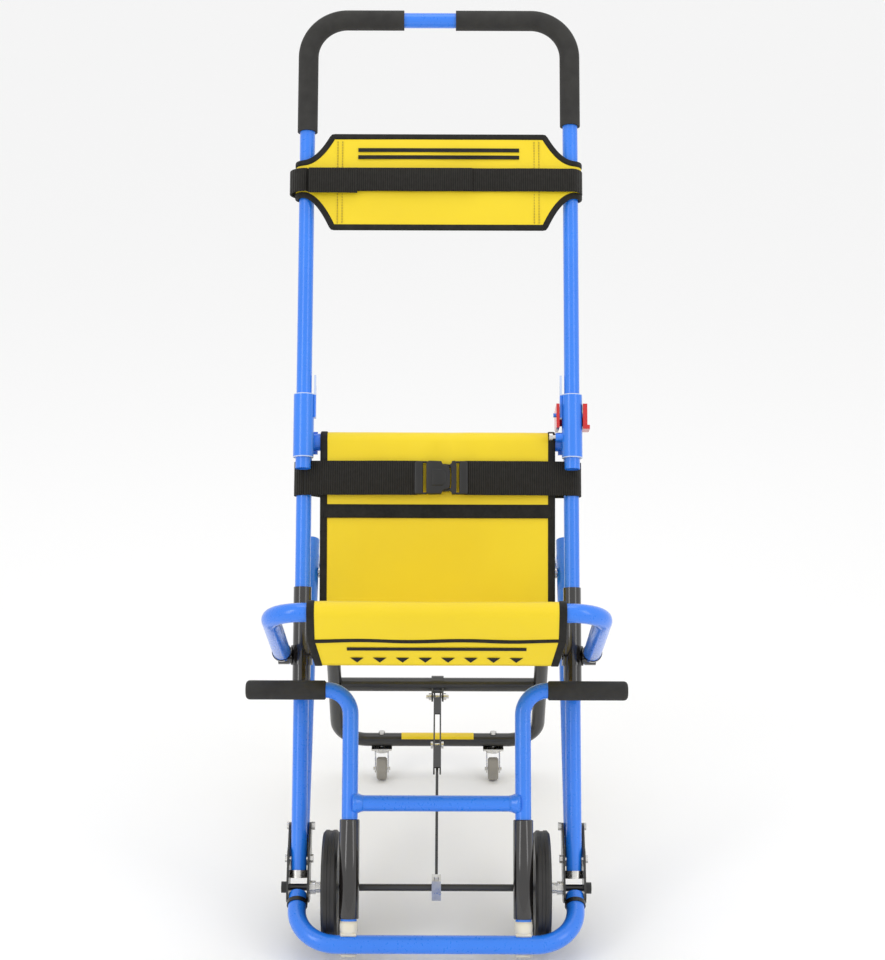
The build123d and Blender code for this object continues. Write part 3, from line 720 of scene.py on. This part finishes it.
# %% head panel shape
handle_x = tube_x
strap_up = 0.692
wrap_radius = tube_radius + 0.0016
panel_top, panel_bottom = 0.759, 0.622
neck_top, neck_bottom = 0.719, 0.671
flat_half, neck_half, wrap_half = 0.155, 0.200, 0.226
fold_half = 0.17
proud, swell = 0.0022, 0.0035


def panel_edge(x, straight, neck):
    reach = abs(x)
    if reach <= flat_half:
        return straight
    if reach >= neck_half:
        return neck
    t = (reach - flat_half) / (neck_half - flat_half)
    return neck + (straight - neck) * (1 - t) ** 2


def crown(x, share):
    """How much the panel has swollen, from 0 at its edges to 1 in its middle."""
    return math.sin(math.pi * share) * max(0.0, 1 - (abs(x) / flat_half) ** 4)


def wrapped(x, up, lift):
    """A point on the panel's face. Past the tube's middle it bends round the tube."""
    side = 1 if x > 0 else -1
    past = abs(x) - handle_x
    if past <= 0:
        return frame_point(x, up, handle_front + wrap_radius + lift)
    a = past / wrap_radius
    radius = wrap_radius + lift
    return frame_point(side * (handle_x + radius * math.sin(a)), up,
                       handle_front + radius * math.cos(a))


def panel_rows(columns=150, lines=26):
    rows = []
    for c in range(columns + 1):
        x = wrap_half * (2 * c / columns - 1)
        low, high = panel_edge(x, panel_bottom, neck_bottom), panel_edge(x, panel_top, neck_top)
        row = []
        for k in range(lines + 1):
            t = k / lines
            up = low + (high - low) * t
            fold = noise.noise(Vector((x * 12, up * 12, 2.0))) * 0.0016
            fold *= math.sin(math.pi * t) * (abs(x) < fold_half)
            row.append(wrapped(x, up, proud + swell * crown(x, t) + fold))
        rows.append(row)
    return rows


panel = sheet_piece("head_panel_cloth", panel_rows(), yellow_cloth, 0.0022)
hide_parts("head_panel")
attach(panel, "handle")
print("head panel height up the frame", round(panel_top - panel_bottom, 3))

# %% [markdown]
# ## Trimming the head panel
# Black tape binds the panel's long edges and follows them round the handle tubes. Two
# rows of stitches stand near each end, and the printed bars follow the panel's swelling.

# %% edge tape, stitching and print on the head panel
steps = 240
stops = [wrap_half * (2 * c / steps - 1) for c in range(steps + 1)]
for straight, neck, word in ((panel_top, neck_top, "top"),
                             (panel_bottom, neck_bottom, "bottom")):
    path = [wrapped(x, panel_edge(x, straight, neck), 0.0020) for x in stops]
    across = []
    for c, x in enumerate(stops):
        run = (path[min(c + 1, steps)] - path[max(c - 1, 0)]).normalized()
        a = max(0.0, abs(x) - handle_x) / wrap_radius
        face = out_front * math.cos(a) + across_x * math.copysign(math.sin(a), x)
        across.append(run.cross(face))
    edge = band(f"head_panel_edge_{word}", path, across, 0.0092, 0.0050, tape)
    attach(edge, "handle")


def stitch_line(name, x):
    """A row of short raised stitches up the panel."""
    verts, faces = [], []
    count, half = 30, 0.0005
    margin, stitch_share = 0.006, 0.62
    low, high = panel_edge(x, panel_bottom, neck_bottom), panel_edge(x, panel_top, neck_top)
    run = high - low - 2 * margin
    for k in range(count):
        start = low + margin + run * k / count
        end = start + run / count * stitch_share
        corners = ((x - half, start), (x + half, start), (x + half, end), (x - half, end))
        first = len(verts)
        verts += [wrapped(cx, cy, 0.0052) for cx, cy in corners]
        verts += [wrapped(cx, cy, 0.0036) for cx, cy in corners]
        faces += [(first, first + 1, first + 2, first + 3)]
        faces += [(first + i, first + (i + 1) % 4, first + 4 + (i + 1) % 4, first + 4 + i)
                  for i in range(4)]
    row = new_piece(name, verts, faces, thread, smooth=False)
    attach(row, "handle")


stitch_places = (-0.148, -0.141, 0.140, 0.147)
for index, x in enumerate(stitch_places):
    stitch_line(f"head_panel_stitches_{index + 1}", x)


def head_point(x, up):
    share = (up - panel_bottom) / (panel_top - panel_bottom)
    return wrapped(x, up, proud + swell * crown(x, share) + 0.0026)


def bar_outline(x_from, x_to, low, high, steps=40):
    lower = [(x_from + (x_to - x_from) * k / steps, low) for k in range(steps + 1)]
    upper = [(x, high) for x, _ in reversed(lower)]
    return lower + upper


bar_half = 0.118
head_marks = [bar_outline(-bar_half, bar_half, 0.7240, 0.7300),
              bar_outline(-bar_half, bar_half, 0.7350, 0.7410)]
printed("head_panel_print", head_marks, head_point, "handle")
print("head panel trimmed")

# %% [markdown]
# ## Straps
# The head strap passes in front of the panel and round both handle tubes. It is doubled
# on the left, where its end shows. The lap belt goes round the main tubes and meets at a
# buckle. All of it is webbing about 2 mm thick. A known fault: each left loop runs from
# the front to the back and its path then steps forward again, through the tube. The
# right loops clear their tubes.


# %% strap paths
def strap_path(x_from, x_to, up, front, tube_front, loop_left, loop_right, tail, belly=0.0):
    """Across the front, then round the tube on each end that has a loop radius."""
    path = []
    reach = front - tube_front
    turn_steps = 24
    if loop_left:
        path.append(frame_point(-tube_x + tail, up, tube_front - reach))
        for k in range(turn_steps + 1):
            a = math.pi * (1 - k / turn_steps)
            path.append(frame_point(-tube_x - loop_left * math.sin(a), up,
                                    tube_front - reach * math.cos(a)))
        x_from = -tube_x
    for k in range(1, 80):
        x = x_from + (x_to - x_from) * k / 80
        bulge = belly * math.cos(math.pi * x / (2 * tube_x)) ** 0.5 if abs(x) < tube_x else 0
        path.append(frame_point(x, up, front + bulge + 0.0004 * math.sin(x * 60)))
    if loop_right:
        for k in range(turn_steps + 1):
            a = math.pi * k / turn_steps
            path.append(frame_point(tube_x + loop_right * math.sin(a), up,
                                    tube_front + reach * math.cos(a)))
        path.append(frame_point(tube_x - tail, up, tube_front - reach))
    return path


def strap(name, path, width, thickness, body):
    piece = band(name, path, [along_frame] * len(path), width, thickness, webbing)
    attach(piece, body)
    return piece


strap_front = handle_front + tube_radius + 0.0115
head_strap = strap("head_strap_webbing",
                   strap_path(-tube_x, tube_x, strap_up, strap_front, handle_front,
                              0.0240, 0.0165, 0.030), 0.0350, 0.0022, "handle")
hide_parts("head_strap")
overlap_from, overlap_length, tab_length = -0.190, 0.239, 0.071
over = [frame_point(overlap_from + overlap_length * k / 60, strap_up, strap_front + 0.0023)
        for k in range(61)]
strap("head_strap_overlap", over, 0.0345, 0.0022, "handle")
tab = [frame_point(overlap_from + tab_length * k / 30, strap_up - 0.003,
                   strap_front + 0.0046 - 0.0022 * (k / 30) ** 6) for k in range(31)]
strap("head_strap_tab", tab, 0.0365, 0.0024, "handle")

belt_up = 0.2555
belt_front = tube_radius + 0.0016
belt_loop = 0.0135
belt_width = 0.0500
left_path = strap_path(-tube_x, -0.0270, belt_up, belt_front, 0.0, belt_loop, 0, 0.024, 0.004)
left_belt = strap("lap_belt_left_webbing", left_path, belt_width, 0.0020, "frame")
strap("lap_belt_right_webbing",
      strap_path(0.0370, tube_x, belt_up, belt_front, 0.0, 0, belt_loop, 0.024, 0.004),
      belt_width, 0.0020, "frame")
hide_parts("lap_belt")
print("straps on")

# %% [markdown]
# ## The buckle
# A side-release buckle is two mouldings: a socket with windows at its sides, and a tongue
# with two springy prongs that show in them. Each outline is extruded and its edges are
# rounded with a bevel, because moulded parts have no sharp edges.


# %% buckle mouldings
buckle_middle = 0.005
buckle_stretch = 1.16


def moulding(name, outline, up_middle, front_from, front_to, round_edge, body="frame"):
    placed = [(buckle_middle + x * buckle_stretch, up_middle + u) for x, u in outline]
    lower = [frame_point(x, up, front_from) for x, up in placed]
    upper = [frame_point(x, up, front_to) for x, up in placed]
    count = len(outline)
    faces = [tuple(range(count)), tuple(range(2 * count - 1, count - 1, -1))]
    faces += [(k, (k + 1) % count, count + (k + 1) % count, count + k) for k in range(count)]
    piece = new_piece(name, lower + upper, faces, black_plastic, smooth=False)
    bevel = piece.modifiers.new("rounded", "BEVEL")
    bevel.width = round_edge
    bevel.segments = 3
    for face in piece.data.polygons:
        face.use_smooth = True
    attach(piece, body)
    return piece


def mirrored(points):
    """Complete an outline given for the upper half only."""
    return points + [(x, -u) for x, u in reversed(points)]


def notch(x, up, radius, start, end, steps=8):
    """Points on the round finger notch beside each prong."""
    turns = [math.radians(start + (end - start) * k / steps) for k in range(steps + 1)]
    return [(x + radius * math.cos(a), up + radius * math.sin(a)) for a in turns]


body_half = [(-0.0185, 0.0225), (-0.0150, 0.0245), (-0.0020, 0.0240)]
body_half += notch(0.0070, 0.0240, 0.0065, 180, 265) + [(0.0100, 0.0165), (0.0112, 0.0090)]
socket = moulding("buckle_socket_body", mirrored(body_half), belt_up, 0.0120, 0.0225, 0.0018)
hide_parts("buckle_socket")
base_half = notch(0.0075, 0.0240, 0.0060, 285, 360) + [(0.0170, 0.0245), (0.0190, 0.0225)]
base_half = [(0.0128, 0.0100), (0.0118, 0.0165)] + base_half
tongue = moulding("buckle_tongue_body", mirrored(base_half), belt_up, 0.0125, 0.0215, 0.0018)
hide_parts("buckle_tongue")
for side, word in ((-1, "socket"), (1, "tongue")):
    bar = [(side * 0.0225, -0.0245), (side * 0.0320, -0.0245), (side * 0.0335, -0.0215),
           (side * 0.0335, 0.0215), (side * 0.0320, 0.0245), (side * 0.0225, 0.0245)]
    moulding(f"buckle_{word}_bar", bar, belt_up, 0.0135, 0.0200, 0.0022)
    for end, place in ((-1, "lower"), (1, "upper")):
        bridge = [(side * 0.0175, end * 0.0215), (side * 0.0240, end * 0.0215),
                  (side * 0.0240, end * 0.0243), (side * 0.0175, end * 0.0243)]
        moulding(f"buckle_{word}_bridge_{place}", bridge, belt_up, 0.0140, 0.0190, 0.0008)
for end, place in ((-1, "lower"), (1, "upper")):
    prong = [(0.0000, end * 0.0150), (0.0125, end * 0.0150), (0.0125, end * 0.0190),
             (0.0030, end * 0.0205)]
    moulding(f"buckle_prong_{place}", prong, belt_up, 0.0140, 0.0190, 0.0010)
rib = mirrored([(-0.0120, 0.0120), (0.0020, 0.0120), (0.0060, 0.0060)])
moulding("buckle_centre_rib", rib, belt_up, 0.0215, 0.0236, 0.0012)
print("buckle made")

# %% [markdown]
# ## Grips, sleeves and welds on the lift handle
# The lift handle has foam grips with rounded ends, and smooth black sleeves low on its
# legs. The CAD solid holds both in one node, so new meshes take its place: each is a
# ring swept along a line whose radius follows a short list of places. The cross bar is
# welded on, and each weld is a small swelling at its end.


# %% turned pieces
def turned(name, start, end, profile_list, material, body):
    """Rings along a straight line. profile_list holds (share of the length, radius)."""
    line = end - start
    direction = line.normalized()
    side = direction.orthogonal().normalized()
    other = direction.cross(side)
    segments = 40
    verts = []
    for share, radius in profile_list:
        centre = start + line * share
        for k in range(segments):
            a = 2 * math.pi * k / segments
            verts.append(centre + (side * math.cos(a) + other * math.sin(a)) * radius)
    faces = grid_faces(len(profile_list), segments, loop=True)
    faces.append(tuple(range(segments)))
    last = (len(profile_list) - 1) * segments
    faces.append(tuple(range(last, last + segments)))
    piece = new_piece(name, verts, faces, material)
    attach(piece, body)
    return piece


def rounded_end(length, radius, round_by):
    """Shares and radii of a grip: a small rounding at its near end, a full one at its far."""
    steps = [k / 5 for k in range(6)]
    small = round_by * 0.3
    far = [(1 - (1 - math.sin(t * math.pi / 2)) * round_by / length,
            radius - round_by * (1 - math.cos(t * math.pi / 2))) for t in steps]
    near = [(t * small / length, radius - small * (1 - t)) for t in steps]
    return near + [(0.3, radius * 1.006), (0.6, radius * 0.998)] + far


grip_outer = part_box("lift_grips")[1][0]
lift_pivot = Vector(joints["lift_handle_fold"]["pos_m"])
lift_front = (lift_pivot - seat_pivot).dot(out_front)
leg_x = 0.120
pivot_height = 0.326
grip_up = 0.273 - pivot_height
bar_up = 0.117 - pivot_height
grip_inner, grip_radius = 0.155, 0.0135
sleeve_low, sleeve_high = -0.366, -0.231
for side, word in ((-1, "left"), (1, "right")):
    start = frame_point(side * grip_inner, grip_up, lift_front)
    end = frame_point(side * grip_outer, grip_up, lift_front)
    grip = turned(f"lift_grip_{word}", start, end,
                  rounded_end((end - start).length, grip_radius, 0.006), foam, "lift")
    if side < 0:
        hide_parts("lift_grips")
    sleeve_start = frame_point(side * leg_x, sleeve_low, lift_front)
    sleeve_end = frame_point(side * leg_x, sleeve_high, lift_front)
    turned(f"lift_leg_sleeve_{word}", sleeve_start, sleeve_end,
           [(0, 0.0132), (0.01, 0.0139), (0.5, 0.0140), (0.99, 0.0139), (1, 0.0132)],
           gloss_black, "lift")
    inner = frame_point(side * (leg_x - 0.0190), bar_up, lift_front)
    outer = frame_point(side * (leg_x - 0.0040), bar_up, lift_front)
    turned(f"lift_weld_{word}", inner, outer,
           [(0, 0.0112), (0.25, 0.0120), (0.55, 0.0140), (0.75, 0.0152), (1, 0.0156)],
           blue, "lift")
print("lift handle pieces made, grips reach", round(grip_outer, 3))

# %% [markdown]
# ## Nylon clips
# Each leg of the lift handle ends in a nylon clip that snaps on the foot bar. From the
# front it shows as a rounded plug, because the clip is open there. A turned plug and a
# strip bent round the back of the bar make it.

# %% clips on the foot bar
clip_radius = bar_radius + 0.0023
plug_top_up = -0.369
pivot_up = (lift_pivot - seat_pivot).dot(along_frame)
for side, word in ((-1, "left"), (1, "right")):
    x = side * leg_x
    plug_top = frame_point(x, plug_top_up, lift_front)
    plug_foot = frame_point(x, pivot_up + bar_radius + 0.0006, lift_front)
    plug = turned(f"lift_clip_plug_{word}", plug_foot, plug_top,
                  [(0, 0.0085), (0.10, 0.0108), (0.30, 0.0122), (0.7, 0.0126), (1, 0.0120)],
                  nylon, "lift")
    if side < 0:
        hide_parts("lift_knuckles")
    path = [frame_point(x, pivot_up + up, lift_front + front)
            for front, up in arc((0, 0), clip_radius, 55, 262, 32)]
    clip = band(f"lift_clip_{word}", path, [across_x] * len(path), 0.0220, 0.0040, nylon)
    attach(clip, "lift")
print("clips turn on the foot bar at", round(lift_pivot.y, 3), round(lift_pivot.z, 3))

# %% [markdown]
# ## Floor, light and camera
# The floor is pale and plain. Three soft lamps and a bright surround give the long soft
# highlights on the tubes. The camera stands in front, higher than the handle, and looks
# down at the seat.

# %% stage
floor_finish = Finish("pale_floor", Base_Color=(0.96, 0.96, 0.96), Roughness=0.85)
half = 70.0
floor_corners = [Vector((x, y, 0))
                 for x, y in ((-half, -half), (half, -half), (half, half), (-half, half))]
floor = new_piece("studio_floor", floor_corners, [(0, 1, 2, 3)], floor_finish.material,
                  smooth=False)

world = bpy.data.worlds.new("surround")
world.use_nodes = True
surround = world.node_tree.nodes["Background"]
surround.inputs["Color"].default_value = (1.0, 1.0, 1.0, 1.0)
surround.inputs["Strength"].default_value = 0.95
bpy.context.scene.world = world


def lamp(name, place, aim, power, width, height):
    light = bpy.data.lights.new(name, "AREA")
    light.shape = "RECTANGLE"
    light.size = width
    light.size_y = height
    light.energy = power
    holder = bpy.data.objects.new(name, light)
    holder.location = place
    holder.rotation_euler = (Vector(aim) - Vector(place)).to_track_quat("-Z", "Y").to_euler()
    bpy.context.scene.collection.objects.link(holder)


middle = (0.0, 0.0, 0.65)
lamp("lamp_left", (-1.9, -2.1, 2.0), middle, 13, 0.7, 2.0)
lamp("lamp_right", (2.0, -1.7, 1.9), middle, 9, 0.7, 2.0)
lamp("lamp_top", (0.0, 0.2, 3.0), middle, 8, 1.6, 1.2)

axle_y = joints["wheel_spin_left"]["pos_m"][1]
lens = bpy.data.cameras.new("camera")
lens.sensor_fit = "HORIZONTAL"
lens.sensor_width = 36.0
lens.lens = 82.9
camera = bpy.data.objects.new("camera", lens)
aside, distance, height = 0.007, 2.6, 1.4225
look_down, roll = 16, 0.17
camera.location = (aside, axle_y - distance, height)
camera.rotation_euler = (math.radians(90 - look_down), 0, 0)
camera.rotation_euler.rotate_axis("Z", math.radians(roll))
bpy.context.scene.collection.objects.link(camera)
bpy.context.scene.camera = camera
bpy.context.scene.view_settings.view_transform = "Standard"
print("camera at", [round(v, 3) for v in camera.location])
